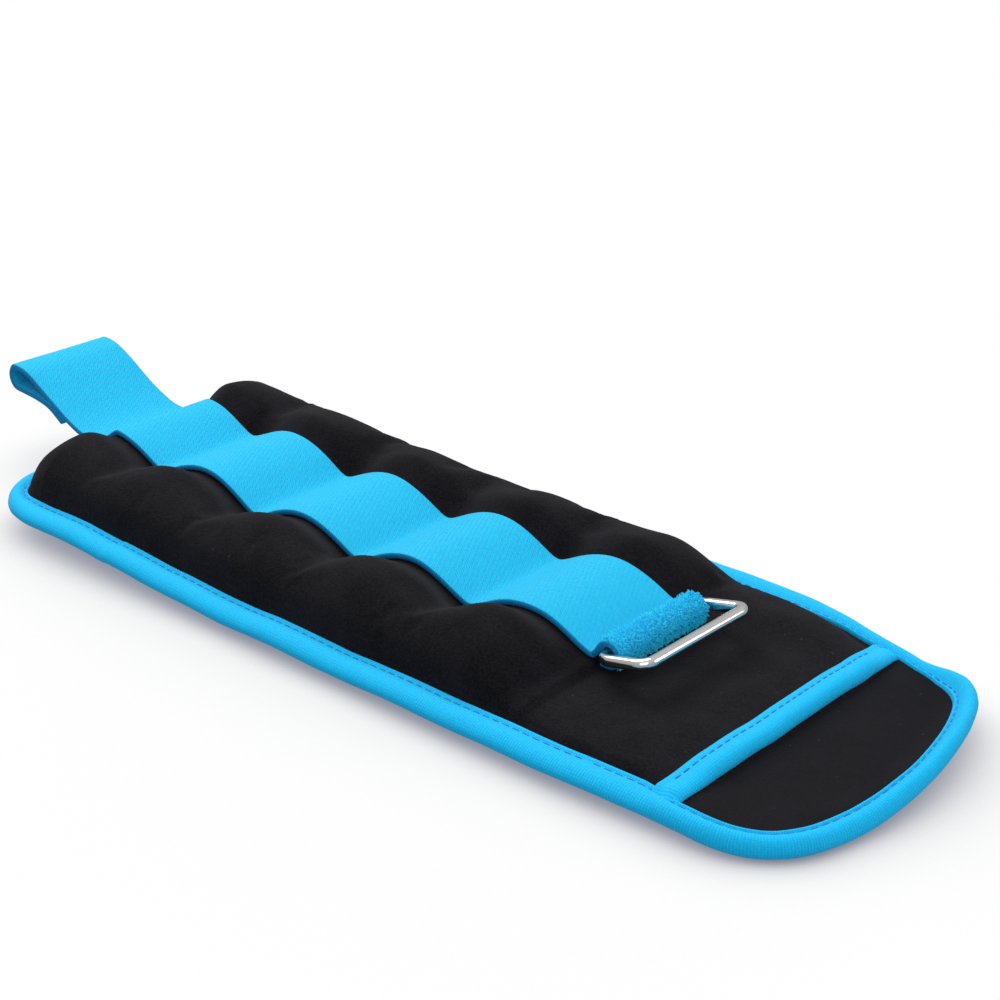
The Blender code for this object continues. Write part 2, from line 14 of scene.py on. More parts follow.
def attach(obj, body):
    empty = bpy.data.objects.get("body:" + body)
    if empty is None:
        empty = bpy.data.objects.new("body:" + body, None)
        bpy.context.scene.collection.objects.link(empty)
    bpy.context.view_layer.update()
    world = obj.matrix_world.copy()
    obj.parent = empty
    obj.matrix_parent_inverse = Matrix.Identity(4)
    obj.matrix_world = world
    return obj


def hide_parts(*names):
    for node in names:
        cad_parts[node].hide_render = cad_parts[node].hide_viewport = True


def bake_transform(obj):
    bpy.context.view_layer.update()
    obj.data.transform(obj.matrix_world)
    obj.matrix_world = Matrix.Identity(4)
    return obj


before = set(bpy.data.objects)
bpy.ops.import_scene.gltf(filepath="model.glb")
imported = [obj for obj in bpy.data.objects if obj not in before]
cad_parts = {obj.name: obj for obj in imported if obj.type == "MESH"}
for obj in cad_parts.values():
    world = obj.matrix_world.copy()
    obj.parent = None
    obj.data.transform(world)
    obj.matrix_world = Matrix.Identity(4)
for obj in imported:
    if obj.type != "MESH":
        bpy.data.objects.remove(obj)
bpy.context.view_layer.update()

# The cuff in its flat place, as in the CAD
FRAME_X = 135.55
PITCH = 43.0
HALF_WIDTH = 50.0
OUTER_HALF = 59.5
BINDING_WIDTH = 9.5
EDGE_MID = 4.6
FLANGE_TOP = EDGE_MID + 1.9
LAST_SEAM = 215.0
FLAP_X = 268.6

# Height of the pockets, the tab and the raised left end
HUMP = 16.5
HUMP_POWER = 5
SEAM_DIP = 0.35
SEAM_FADE = 0.75
GROOVE_CREST = 4.6
GROOVE_DEEPER_AT_SEAM = 1.3
GROOVE_SLOPE = 11.0
END_RISE = 14.0
TAB_DIP = 0.69
TAB_CROWN = 0.17
TAB_FULLER = 0.16
TAB_STEP_CROWN = 0.31
TAB_STEP_LENGTH = 5.0
END_LIFT = 3.4
END_LIFT_FROM = 122.0
END_LIFT_LENGTH = 95.0
LINING_EDGE_RISE = 2.7
LINING_SEAM_RISE = 5.0
LINING_SEAM_HALF = 6.0
LINING_FLAT = 36.0
TAB_UNDER = 1.7

# Outline of the flap and the left end
FLAP_TIP = 306.5
FLAP_TIP_Y = -6.0
NEAR_CORNER = 28.5
FAR_CORNER = 33.0
NEAR_LEAN = math.radians(17.0)
FAR_LEAN = math.radians(18.0)
LEFT_CORNER = 19.5

# How the cloth lies: what draws in, curls up and sinks, and the relief that the simulation may give
NEAR_DRAWN_IN = 0.03
FAR_DRAWN_IN = 0.20
RIM_CURL = 5.7
FLAP_SUNK = 1.8
RELIEF_LIMIT = 0.9
RELIEF_STEPS = 20

# Grids of cloth: how far inside the outer edge they stop, where they end, and how far the cover's rim sinks
RIM_INSET = 5.0
RIM_HALF = OUTER_HALF - RIM_INSET
COVER_GRID_END = 264.5
FLAP_FACE_START = 262.5
FLAP_GRID_END = 300.5
COVER_TUCKED = 0.9

# Binding and stitches
FLAP_TAPE_NARROWER = 3.0
LEFT_TAPE_TRIMMED = 2.0
LEFT_CORNER_TRIMMED = 1.5
CROSS_TAPE_X = 260.6
STITCH_PITCH = 3.3
STITCH_LENGTH = 2.3
STITCH_COLUMN = 6
THREAD_RADIUS = 0.22
THREAD_PROUD = 0.08

# Strap and ring
STRAP_HALF = 19.0
STRAP_THICK = 1.8
STRAP_GAP = 0.3
TAIL_ROOT_X = 12.0
ROOT_HEIGHT = 5.4
STRAP_ROUNDING = 0.5
LOOP_RADIUS = 3.2
PILE_COUNT = 6000
PILE_RADIUS = 0.13
HOOK_RADIUS = 0.17
RING_PIVOT = (220.0, 14.5)
RING_TILT = math.radians(12.7)
RING_SPAN = 15.0
RING_WIDTH = 42.9
RING_CORNER = 3.2
RING_WIRE_RADIUS = 1.7

# The bodies either side of each seam, from where to where its part of the cuff reaches, and the seam's X
SPANS = [
    ("segment_1", "segment_2", -99.0, 64.5, 43.0),
    ("segment_2", "segment_3", 64.5, 107.5, 86.0),
    ("segment_3", "segment_4", 107.5, 150.5, 129.0),
    ("segment_4", "segment_5", 150.5, 193.5, 172.0),
    ("segment_5", "tab", 193.5, 242.0, 215.0),
    ("tab", "flap", 242.0, 999.0, FLAP_X),
]
SPLITS = [span[3] for span in SPANS[:-1]]


# ---------------------------------------------------------------- shapes


def smooth(value):
    """0 below 0, 1 above 1, and an easy curve between."""
    value = np.clip(value, 0.0, 1.0)
    return value * value * (3 - 2 * value)


def wobble(x, y, wavelength, seed, count=7):
    """A smooth random field of about -1 to 1, the same on every run."""
    rng = np.random.default_rng(seed)
    total = 0.0
    for _ in range(count):
        angle = rng.uniform(0, 2 * math.pi)
        k = 2 * math.pi / (wavelength * rng.uniform(0.75, 1.4))
        total = total + np.sin(k * (x * math.cos(angle) + y * math.sin(angle)) + rng.uniform(0, 6.28))
    return total / math.sqrt(count) * 0.7


def lift(x):
    """How far the cuff stands above its flat place."""
    return END_LIFT * smooth((END_LIFT_FROM - x) / END_LIFT_LENGTH)


def settle(points):
    """Moves points as the cloth lies: the far side draws in and the flap's far corner curls up."""
    x, y, z = points[..., 0], points[..., 1], points[..., 2]
    drawn_in = np.where(y > 0, FAR_DRAWN_IN, NEAR_DRAWN_IN) * smooth((x - 225.0) / 53.0)
    at_rim = smooth(1 - rim_distance(x, y) / 14.0)
    curled = RIM_CURL * smooth((y + 38.0) / 60.0) * smooth((x - 272.0) / 22.0) * at_rim
    sunk = FLAP_SUNK * smooth((x - 262.0) / 34.0)
    return np.stack([x, y * (1 - drawn_in), z + curled - sunk], axis=-1)


def valley(x):
    """1 on a pocket seam and 0 on a pocket's crest, rounded at both."""
    wave = np.abs(np.sin(math.pi * x / PITCH))
    low, high = 0.22, math.hypot(1, 0.22)
    return 1 - (np.hypot(wave, low) - low) / (high - low)


def left_outline(y, inset):
    """X of the left end, set in from its outer edge, with rounded corners."""
    beyond = np.maximum(0.0, np.abs(y) - (OUTER_HALF - LEFT_CORNER))
    radius = LEFT_CORNER - inset
    return LEFT_CORNER - np.sqrt(np.maximum(radius * radius - beyond * beyond, 0.0))


def corner_centre(corner, lean, side):
    """X of a flap corner's centre, where the corner runs smoothly out of the bow between the corners."""
    reach = OUTER_HALF - corner + corner * math.sin(lean) - side * FLAP_TIP_Y
    return FLAP_TIP - 0.5 * reach * math.tan(lean) - corner * math.cos(lean)


def flap_outline(y, inset):
    """X of the flap's end, set in from its outer edge: a shallow bow between two round corners."""
    near = y < FLAP_TIP_Y
    corner = np.where(near, NEAR_CORNER, FAR_CORNER)
    lean = np.where(near, NEAR_LEAN, FAR_LEAN)
    centre = np.where(
        near, corner_centre(NEAR_CORNER, NEAR_LEAN, -1), corner_centre(FAR_CORNER, FAR_LEAN, 1))
    straight = OUTER_HALF - corner
    radius = corner - inset
    joint = straight + radius * np.sin(lean)
    share = np.abs(y - FLAP_TIP_Y) / (joint - np.where(near, -1, 1) * FLAP_TIP_Y)
    bow = FLAP_TIP - inset - centre - radius * np.cos(lean)
    beyond = np.maximum(0.0, np.abs(y) - straight)
    rounded = centre + np.sqrt(np.maximum(radius * radius - beyond * beyond, 0.0))
    return np.where(np.abs(y) > joint, rounded, FLAP_TIP - inset - bow * share**2)


def rim_distance(x, y):
    """How far a point lies inside the cuff's outer edge."""
    return np.minimum(OUTER_HALF - np.abs(y), np.maximum(flap_outline(y, 0.0) - x, 0.0))


def inside_left_end(x, y):
    """Distance to the right of the left binding's inner edge."""
    return x - left_outline(np.minimum(np.abs(y), HALF_WIDTH), BINDING_WIDTH) - 0.6


def cover_top(x, y):
    """Height of the outer cover, with the lift."""
    across = np.minimum(np.abs(y) / HALF_WIDTH, 1.0)
    crown = HUMP * np.sqrt(1 - across**HUMP_POWER)
    groove = 1 - smooth((np.abs(y) - STRAP_HALF) / GROOVE_SLOPE)
    last_half = x > LAST_SEAM - PITCH / 2
    fade = 1 - SEAM_FADE * smooth((np.abs(y) - 27.0) / 18.0)
    dip = np.where(last_half, TAB_DIP, SEAM_DIP * fade)
    height = crown * (1 - dip * valley(x))
    depth = GROOVE_CREST + GROOVE_DEEPER_AT_SEAM * valley(x)
    depth = np.where(last_half, GROOVE_CREST * (1 - valley(x)), depth)
    first = x < PITCH / 2
    along = np.clip(inside_left_end(x, y) / END_RISE, 0.0, 1.0)
    height = np.where(first, crown * np.power(1 - np.power(1 - along, 2.5), 0.6), height)
    climb = (HUMP - GROOVE_CREST - ROOT_HEIGHT) * (x - TAIL_ROOT_X) / (PITCH / 2 - TAIL_ROOT_X)
    depth = np.where(first, np.maximum(0.0, height - (ROOT_HEIGHT + climb)), depth)
    puffed = FLANGE_TOP + np.maximum(height - depth * groove, 0.25 * height)
    step = 1 - smooth((x - LAST_SEAM) / TAB_STEP_LENGTH)
    fuller = TAB_FULLER * smooth((y - 22.0) / 16.0) * smooth((264.0 - x) / 24.0)
    tab = FLANGE_TOP + crown * np.maximum(TAB_CROWN + fuller, TAB_STEP_CROWN * step)
    return np.where(x >= LAST_SEAM, tab, puffed) + lift(x)


def lining_under(x, y):
    """Height of the lining's skin side, with the lift: flat under a pocket, raised at seams and edges."""
    edge = LINING_EDGE_RISE * smooth((np.abs(y) - LINING_FLAT) / (HALF_WIDTH - LINING_FLAT))
    nearest = np.abs(x - PITCH * np.round(x / PITCH))
    seam = LINING_SEAM_RISE * (1 - smooth(nearest / LINING_SEAM_HALF))
    body = edge + seam * (1 - edge / LINING_EDGE_RISE)
    first = np.maximum(edge, LINING_EDGE_RISE * (1 - smooth(inside_left_end(x, y) / 8.0)))
    body = np.where(x < PITCH / 2, first, body)
    past = TAB_UNDER + (LINING_SEAM_RISE - TAB_UNDER) * (1 - smooth((x - LAST_SEAM) / LINING_SEAM_HALF))
    body = np.where(x > LAST_SEAM, np.maximum(edge, past), body)
    return body + lift(x)


def near_seam(x, reach):
    """1 on every pocket seam, fading out over reach."""
    return np.exp(-((((x + PITCH / 2) % PITCH) - PITCH / 2) / reach) ** 2)


def run_length(points):
    """Distance travelled at each point of a line."""
    return np.concatenate([[0], np.cumsum(np.linalg.norm(np.diff(points, axis=0), axis=1))])


def outward_of(path):
    """Unit directions out of a closed path that runs anticlockwise."""
    ahead = np.roll(path, -1, axis=0) - np.roll(path, 1, axis=0)
    ahead /= np.linalg.norm(ahead, axis=1, keepdims=True)
    return np.stack([ahead[:, 1], -ahead[:, 0]], axis=1)


def arc_points(centre, radius, degrees):
    """Points at these angles on an arc."""
    angles = np.radians(degrees)
    return [(centre[0] + radius * math.cos(a), centre[1] + radius * math.sin(a)) for a in angles]


def strap_top(x):
    """Top of the strap, which follows the cover and lies straight from its root up to the first crest."""
    return cover_top(x, 0.0 * x) + STRAP_GAP + STRAP_THICK


def cloth_relief(points, held):
    """Offsets in millimetres that a cloth simulation gives a grid of points. held ones stay in place.

    Every second row and column is simulated, at ten times its real size, and the rest is filled in between.
    """
    low = points[::2, ::2]
    ni, nj = low.shape[:2]
    i, j = np.meshgrid(np.arange(ni - 1), np.arange(nj - 1), indexing="ij")
    a = (i * nj + j).ravel()
    mesh = bpy.data.meshes.new("relief")
    quads = np.stack([a, a + nj, a + nj + 1, a + 1], axis=1)
    mesh.from_pydata((low.reshape(-1, 3) / 100).tolist(), [], quads.tolist())
    work = bpy.data.objects.new("relief", mesh)
    bpy.context.scene.collection.objects.link(work)
    group = work.vertex_groups.new(name="held")
    weights = np.round(held[::2, ::2].ravel(), 1)
    for weight in np.unique(weights):
        if weight > 0:
            group.add(np.where(weights == weight)[0].tolist(), float(weight), "REPLACE")
    cloth = work.modifiers.new("cloth", "CLOTH").settings
    cloth.quality = 6
    cloth.mass = 0.4
    cloth.tension_stiffness = cloth.shear_stiffness = 20.0
    cloth.compression_stiffness = 20.0
    cloth.bending_stiffness = 12.0
    cloth.vertex_group_mass = "held"
    cloth.pin_stiffness = 1.0
    cloth.shrink_min = cloth.shrink_max = -0.014
    cloth.use_pressure = True
    cloth.uniform_pressure_force = 4.0
    cloth.effector_weights.gravity = 0.0
    scene = bpy.context.scene
    for step in range(1, RELIEF_STEPS + 1):
        scene.frame_set(step)
    done = work.evaluated_get(bpy.context.evaluated_depsgraph_get())
    moved = np.empty(ni * nj * 3)
    done.data.vertices.foreach_get("co", moved)
    offset = moved.reshape(ni, nj, 3) * 100 - low
    bpy.data.objects.remove(work, do_unlink=True)
    scene.frame_set(1)
    size = np.linalg.norm(offset, axis=2, keepdims=True)
    offset = offset * np.minimum(1.0, RELIEF_LIMIT / np.maximum(size, 1e-6))
    at_i, at_j = np.arange(points.shape[0]) / 2, np.arange(points.shape[1]) / 2
    rows = [[np.interp(at_j, np.arange(nj), row[:, c]) for row in offset] for c in range(3)]
    rows = np.stack(rows, axis=2)
    columns = [[np.interp(at_i, np.arange(ni), rows[:, k, c]) for k in range(len(at_j))] for c in range(3)]
    return np.stack(columns, axis=2).transpose(1, 0, 2)


# ---------------------------------------------------------------- meshes


def to_frame(points):
    """Layout millimetres as metres in the row frame."""
    points = np.array(points, float)
    points[..., 0] -= FRAME_X
    return points / 1000.0


def grid_normals(points, closed, flip):
    """Unit normals of a grid of points. closed wraps the second direction."""
    along = np.gradient(points, axis=0)
    if closed:
        across = (np.roll(points, -1, axis=1) - np.roll(points, 1, axis=1)) / 2
    else:
        across = np.gradient(points, axis=1)
    normal = np.cross(along, across)
    normal /= np.maximum(np.linalg.norm(normal, axis=2, keepdims=True), 1e-9)
    return -normal if flip else normal


def uv_grid(along, across):
    """U along and V across for every point of a grid."""
    return np.stack(np.meshgrid(along, across, indexing="ij"), axis=2)


def new_object(name, mesh, finish):
    mesh.materials.append(finish)
    made = bpy.data.objects.new(name, mesh)
    bpy.context.scene.collection.objects.link(made)
    return made


def grid_object(name, points, uv, finish, closed=False, flip=False, rows=None, normals=None, caps=()):
    """A grid of points as a smooth mesh. rows picks a part, whose edges keep the whole grid's normals."""
    if normals is None:
        normals = grid_normals(points, closed, flip)
    if rows is not None:
        points, uv, normals = points[rows], uv[rows], normals[rows]
    ni, nj = points.shape[:2]
    width = nj if closed else nj - 1
    i, j = np.meshgrid(np.arange(ni - 1), np.arange(width), indexing="ij")
    i, j = i.ravel(), j.ravel()
    after = (j + 1) % nj
    quads = np.stack([i * nj + j, (i + 1) * nj + j, (i + 1) * nj + after, i * nj + after], axis=1)
    corner_uv = np.stack([uv[i, j], uv[i + 1, j], uv[i + 1, j + 1], uv[i, j + 1]], axis=1)
    if flip:
        quads, corner_uv = quads[:, ::-1], corner_uv[:, ::-1]
    faces = quads.tolist()
    corner_uv = corner_uv.reshape(-1, 2)
    for cap in caps:
        ring = [(0 if cap == "start" else (ni - 1) * nj) + k for k in range(nj)]
        faces.append(ring if (cap == "end") != flip else ring[::-1])
        corner_uv = np.concatenate([corner_uv, np.zeros((nj, 2))])
    mesh = bpy.data.meshes.new(name)
    mesh.from_pydata(to_frame(points).reshape(-1, 3).tolist(), [], faces)
    layer = mesh.uv_layers.new(name="UVMap")
    layer.data.foreach_set("uv", corner_uv.astype(np.float32).ravel())
    mesh.update()
    mesh.shade_smooth()
    if not caps:
        mesh.normals_split_custom_set_from_vertices(normals.reshape(-1, 3).tolist())
    return new_object(name, mesh, finish)


def capsule_mesh(name, starts, ends, radius, ups, finish, sides=6):
    """Many short rounded threads as one mesh, each from its start to its end."""
    profile = [(0.0, 0.35), (0.12, 0.8), (0.35, 1.0), (0.65, 1.0), (0.88, 0.8), (1.0, 0.35)]
    points, faces = [], []
    for a, b, up in zip(starts, ends, ups):
        along = b - a
        side = np.cross(along, up)
        side /= max(np.linalg.norm(side), 1e-9)
        rise = np.cross(side, along)
        rise /= max(np.linalg.norm(rise), 1e-9)
        base = len(points)
        for share, size in profile:
            centre = a + along * share
            for k in range(sides):
                turn = 2 * math.pi * k / sides
                points.append(centre + radius * size * (math.cos(turn) * side + math.sin(turn) * rise))
        for ring in range(len(profile) - 1):
            for k in range(sides):
                p, q = base + ring * sides + k, base + ring * sides + (k + 1) % sides
                faces.append((p, q, q + sides, p + sides))
        last = base + (len(profile) - 1) * sides
        faces.append(tuple(range(base + sides - 1, base - 1, -1)))
        faces.append(tuple(range(last, last + sides)))
    mesh = bpy.data.meshes.new(name)
    mesh.from_pydata(to_frame(points).tolist(), [], faces)
    mesh.update()
    mesh.shade_smooth()
    return new_object(name, mesh, finish)


def bend_at(piece, span, zone=8.0):
    """Bakes a piece's transform into its mesh."""
    first, second, _, _, seam = span
    start, end = to_frame([seam - zone, 0, EDGE_MID]), to_frame([seam + zone, 0, EDGE_MID])
    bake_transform(piece)


# ---------------------------------------------------------------- materials


class Nodes:
    """Short ways to add and join shader nodes."""

    def __init__(self, name):
        self.material = bpy.data.materials.new(name)
        self.material.use_nodes = True
        self.tree = self.material.node_tree
        self.shader = self.tree.nodes["Principled BSDF"]

    def add(self, kind, **settings):
        node = self.tree.nodes.new(kind)
        for key, value in settings.items():
            if key in node.inputs:
                node.inputs[key].default_value = value
            else:
                setattr(node, key, value)
        return node

    def join(self, source, target):
        self.tree.links.new(source, target)

    def math(self, operation, a, b=0.5):
        node = self.add("ShaderNodeMath", operation=operation)
        for slot, value in enumerate((a, b)):
            if isinstance(value, (int, float)):
                node.inputs[slot].default_value = value
            else:
                self.join(value, node.inputs[slot])
        return node.outputs[0]

    def uv(self):
        """U and V as two values, in millimetres."""
        parts = self.add("ShaderNodeSeparateXYZ")
        self.join(self.add("ShaderNodeUVMap", uv_map="UVMap").outputs["UV"], parts.inputs[0])
        return parts.outputs[0], parts.outputs[1]

    def noise(self, scale, detail=2.0, roughness=0.5):
        node = self.add("ShaderNodeTexNoise", Scale=scale, Detail=detail, Roughness=roughness)
        self.join(self.add("ShaderNodeTexCoord").outputs["Object"], node.inputs["Vector"])
        return node.outputs["Fac"]

    def wave(self, value, period):
        """A sine along a value in millimetres."""
        return self.math("SINE", self.math("MULTIPLY", value, 2 * math.pi / period))

    def blend(self, first, first_share, second, second_share):
        """Two values added, each times its share."""
        first = self.math("MULTIPLY", first, first_share)
        second = self.math("MULTIPLY", second, second_share)
        return self.math("ADD", first, second)

    def mix(self, share, below, above):
        """A colour that goes from the one below, a socket, to a fixed one above by a share."""
        node = self.add("ShaderNodeMix", data_type="RGBA")
        node.inputs[7].default_value = (*above, 1.0)
        self.join(share, node.inputs[0])
        self.join(below, node.inputs[6])
        return node.outputs[2]

    def ramp(self, value, stops):
        node = self.add("ShaderNodeValToRGB")
        elements = node.color_ramp.elements
        for k, (position, colour) in enumerate(stops):
            element = elements[k] if k < 2 else elements.new(position)
            element.position = position
            element.color = (*colour, 1.0)
        self.join(value, node.inputs["Fac"])
        return node.outputs["Color"]

    def bump(self, height, distance, strength=1.0, normal=None):
        node = self.add("ShaderNodeBump", Distance=distance, Strength=strength)
        self.join(height, node.inputs["Height"])
        if normal is not None:
            self.join(normal, node.inputs["Normal"])
        return node.outputs["Normal"]

    def principled(self, **values):
        for key, value in values.items():
            key = key.replace("_", " ")
            if hasattr(value, "is_linked") or hasattr(value, "node"):
                self.join(value, self.shader.inputs[key])
            else:
                self.shader.inputs[key].default_value = value


def fuzzy_black(name, dark, light, bump, sheen):
    """Foam-backed cloth with a short brushed face and a little lint."""
    n = Nodes(name)
    fine = n.noise(1500, 3.0, 0.65)
    patches = n.noise(75, 3.0, 0.6)
    colour = n.ramp(n.blend(fine, 0.6, patches, 0.4), [(0.40, dark), (0.60, light)])
    lint = n.math("GREATER_THAN", n.noise(620, 1.0, 0.4), 0.8)
    base = n.mix(n.math("MULTIPLY", lint, 0.5), colour, (0.05, 0.05, 0.055))
    soft = n.bump(n.noise(260, 4.0, 0.6), bump * 0.8)
    n.principled(Base_Color=base, Roughness=0.95, Specular_IOR_Level=0.1)
    n.principled(Sheen_Weight=sheen, Sheen_Roughness=0.5, Sheen_Tint=(0.75, 0.75, 0.8, 1))
    n.principled(Normal=n.bump(fine, bump, 0.9, soft))
    return n.material


def knit_tape(name, colour, shade):
    """Knitted binding tape: fine ribs run across it. U runs along the tape."""
    n = Nodes(name)
    u, v = n.uv()
    drift = n.math("MULTIPLY", n.noise(60, 2.0), 1.2)
    rib = n.math("SINE", n.math("ADD", n.math("MULTIPLY", u, 2 * math.pi / 0.8), drift))
    knit = n.blend(rib, 0.7, n.wave(v, 0.8), 0.18)
    fuzz = n.noise(1400, 3.0, 0.6)
    base = n.ramp(n.blend(knit, 0.22, fuzz, 0.8), [(0.12, shade), (0.62, colour)])
    weave = n.bump(n.math("ADD", knit, n.math("MULTIPLY", fuzz, 0.5)), 0.00006, 0.8)
    n.principled(Base_Color=base, Roughness=0.75, Specular_IOR_Level=0.2, Normal=weave)
    n.principled(Sheen_Weight=0.12, Sheen_Roughness=0.4, Sheen_Tint=(0.4, 0.8, 1.0, 1))
    return n.material


def twill(name, colour, shade, edge_shade_colour):
    """Woven webbing: diagonal twill on a grid of threads, with painted shade on its side edges. U runs along
    the strap.
    """
    n = Nodes(name)
    u, v = n.uv()
    diagonal = n.math("SINE", n.blend(u, 2 * math.pi / 1.5, v, 2 * math.pi / 0.8))
    grid = n.math("MULTIPLY", n.wave(u, 0.75), n.wave(v, 0.62))
    cloth = n.blend(diagonal, 0.5, grid, 0.5)
    fuzz = n.noise(1100, 3.0, 0.6)
    face = n.ramp(n.blend(cloth, 0.3, fuzz, 0.75), [(0.08, shade), (0.62, colour)])
    # painted shade: on the webbing's side edges the colour turns to a darker blue that stands in for the
    # shade there
    edge = n.math("GREATER_THAN", n.math("ABSOLUTE", v), STRAP_HALF + 0.25)
    weave = n.bump(n.math("ADD", cloth, n.math("MULTIPLY", fuzz, 0.5)), 0.00012, 0.8)
    n.principled(Base_Color=n.mix(edge, face, edge_shade_colour), Roughness=0.75)
    n.principled(Specular_IOR_Level=0.18, Normal=weave)
    n.principled(Sheen_Weight=0.12, Sheen_Roughness=0.4, Sheen_Tint=(0.4, 0.8, 1.0, 1))
    return n.material


def plain_fibre(name, colour, shade, roughness=0.8):
    """Thread, pile or hooks, a little uneven in colour."""
    n = Nodes(name)
    base = n.ramp(n.noise(700, 2.0), [(0.35, shade), (0.65, colour)])
    n.principled(Base_Color=base, Roughness=roughness, Specular_IOR_Level=0.25)
    n.principled(Sheen_Weight=0.4, Sheen_Roughness=0.5, Sheen_Tint=(0.6, 0.85, 1.0, 1))
    return n.material


def nickel():
    """Bright plate with faint marks of handling."""
    n = Nodes("nickel_plate")
    marks = n.noise(900, 3.0)
    rough = n.math("ADD", n.math("MULTIPLY", marks, 0.12), 0.08)
    n.principled(Base_Color=(0.80, 0.79, 0.76, 1), Metallic=1.0, Roughness=rough)
    n.principled(Normal=n.bump(n.noise(350, 2.0), 0.00002, 0.5))
    return n.material


BLUE = (0.002, 0.52, 0.90)
BLUE_SHADE = (0.001, 0.395, 0.77)
NEOPRENE = fuzzy_black("neoprene_pile", (0.0016, 0.0015, 0.0026), (0.0082, 0.0076, 0.0104), 0.0002, 0.04)
LINING = fuzzy_black("lining_knit", (0.0056, 0.0053, 0.0070), (0.0085, 0.0080, 0.0105), 0.00008, 0.03)
TAPE = knit_tape("binding_knit", BLUE, BLUE_SHADE)
# the last colour of the strap's twill is the painted shade on the webbing's side edges
WEBBING = twill("strap_twill", (0.009, 0.535, 0.84), (0.005, 0.39, 0.71), (0.002, 0.21, 0.50))
THREAD = plain_fibre("stitch_thread", (0.004, 0.20, 0.52), (0.002, 0.13, 0.40))
PILE = plain_fibre("brushed_pile", (0.014, 0.78, 1.0), (0.008, 0.60, 1.0))
HOOKS = plain_fibre("hook_strip", (0.008, 0.24, 0.60), (0.003, 0.12, 0.36), 0.5)
NICKEL = nickel()


# ---------------------------------------------------------------- cover and lining


def stations(low, high, step):
    """Values from low to high in even steps that land on every split."""
    marks = [low] + [s for s in SPLITS if low < s < high] + [high]
    values = []
    for a, b in zip(marks, marks[1:]):
        values += list(np.linspace(a, b, max(2, round((b - a) / step) + 1))[:-1])
    return np.array(values + [high])


def shaped_grid(low, high, half, step, left_inset, right_inset=None):
    """X and Y of a grid that follows the rounded left end and, if asked, the flap's rounded end."""
    x = stations(low, high, step)
    y = np.linspace(-half, half, round(2 * half / step) + 1)
    gx, gy = np.meshgrid(x, y, indexing="ij")
    start = left_outline(gy, left_inset)
    share = (gx - low) / (PITCH - low)
    gx = np.where(gx < PITCH, start + (PITCH - start) * share, gx)
    if right_inset is not None:
        end = flap_outline(gy, right_inset)
        share = (gx - FLAP_X) / (high - FLAP_X)
        gx = np.where(gx > FLAP_X, FLAP_X + (end - FLAP_X) * share, gx)
    return x, gx, gy


def rows_of(x, span):
    return np.where((x >= span[2] - 1e-6) & (x <= span[3] + 1e-6))[0]


def build_cover():
    x, gx, gy = shaped_grid(RIM_INSET, COVER_GRID_END, RIM_HALF, 1.25, RIM_INSET)
    rim = np.minimum(HALF_WIDTH - np.abs(gy), inside_left_end(gx, gy) + 0.6)
    z = cover_top(gx, gy) - COVER_TUCKED * np.maximum(smooth((gx - 250.0) / 10.0), 1 - smooth(rim / 2.0))
    inside = smooth((HALF_WIDTH - 1 - np.abs(gy)) / 12.0) * smooth(inside_left_end(gx, gy) / 10.0)
    puffed = inside * smooth((LAST_SEAM - gx) / 12.0 + 0.25)
    free = smooth((np.abs(gy) - 20.5) / 8.0)
    z = z + puffed * (0.15 + 0.85 * free) * 0.3 * wobble(gx, gy, 26.0, 3)
    z = z + puffed * free * near_seam(gx, 6.5) * 0.3 * wobble(0.35 * gx, gy, 10.0, 11)
    points = np.stack([gx, gy, z], axis=2)
    held = np.maximum(1 - inside * free, near_seam(gx, 1.6) * (gx < LAST_SEAM + 2))
    held = np.where(gx > LAST_SEAM - 2, 1.0, held)
    points = settle(points + cloth_relief(points, held))
    uv = np.stack([gx, gy], axis=2)
    normals = grid_normals(points, False, False)
    for k, span in enumerate(SPANS[:5]):
        piece = grid_object(
            f"cover_pocket_{k + 1}", points, uv, NEOPRENE, rows=rows_of(x, span), normals=normals)
        bend_at(piece, span)
        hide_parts(f"outer_cover_{k + 1}")
    rest = grid_object("cover_tab", points, uv, NEOPRENE, rows=rows_of(x, SPANS[5]), normals=normals)
    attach(rest, "tab")
    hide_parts("tab_cover")


def build_lining():
    x, gx, gy = shaped_grid(RIM_INSET, FLAP_GRID_END, RIM_HALF, 1.5, RIM_INSET, RIM_INSET)
    z = lining_under(gx, gy)
    inside = smooth((HALF_WIDTH - np.abs(gy)) / 10.0)
    pucker = near_seam(gx, 9.0) * (gx < LAST_SEAM + 8)
    z = z + inside * (0.2 * wobble(gx, gy, 22.0, 21) + 0.35 * pucker * wobble(0.3 * gx, gy, 8.0, 23)) + 0.25
    z = np.where(gx > FLAP_X, np.maximum(z, 2.8), z)
    points = settle(np.stack([gx, gy, z], axis=2))
    uv = np.stack([gx, gy], axis=2)
    normals = grid_normals(points, False, True)
    for k, span in enumerate(SPANS):
        piece = grid_object(
            f"lining_{k + 1}", points, uv, LINING, flip=True, rows=rows_of(x, span), normals=normals)
        bend_at(piece, span, 6.0)
        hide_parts("tab_lining" if k == 5 else f"inner_lining_{k + 1}")


def build_flap_face():
    """The lining's inner face where the single layer of the flap shows beyond the tab's end."""
    _, gx, gy = shaped_grid(FLAP_FACE_START, FLAP_GRID_END, RIM_HALF, 1.25, RIM_INSET, RIM_INSET)
    z = 6.4 - 0.5 * smooth((gx - 262) / 20.0) + 0.22 * wobble(gx, gy, 30.0, 31)
    z = z - 0.5 * smooth((HALF_WIDTH - np.abs(gy)) / 16.0) * smooth((gx - 262) / 14.0)
    points = settle(np.stack([gx, gy, z], axis=2))
    uv = np.stack([gx, gy], axis=2)
    piece = grid_object("flap_face", points, uv, LINING)
    bend_at(piece, SPANS[5], 6.0)
    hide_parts("flap_panel")


# ---------------------------------------------------------------- binding


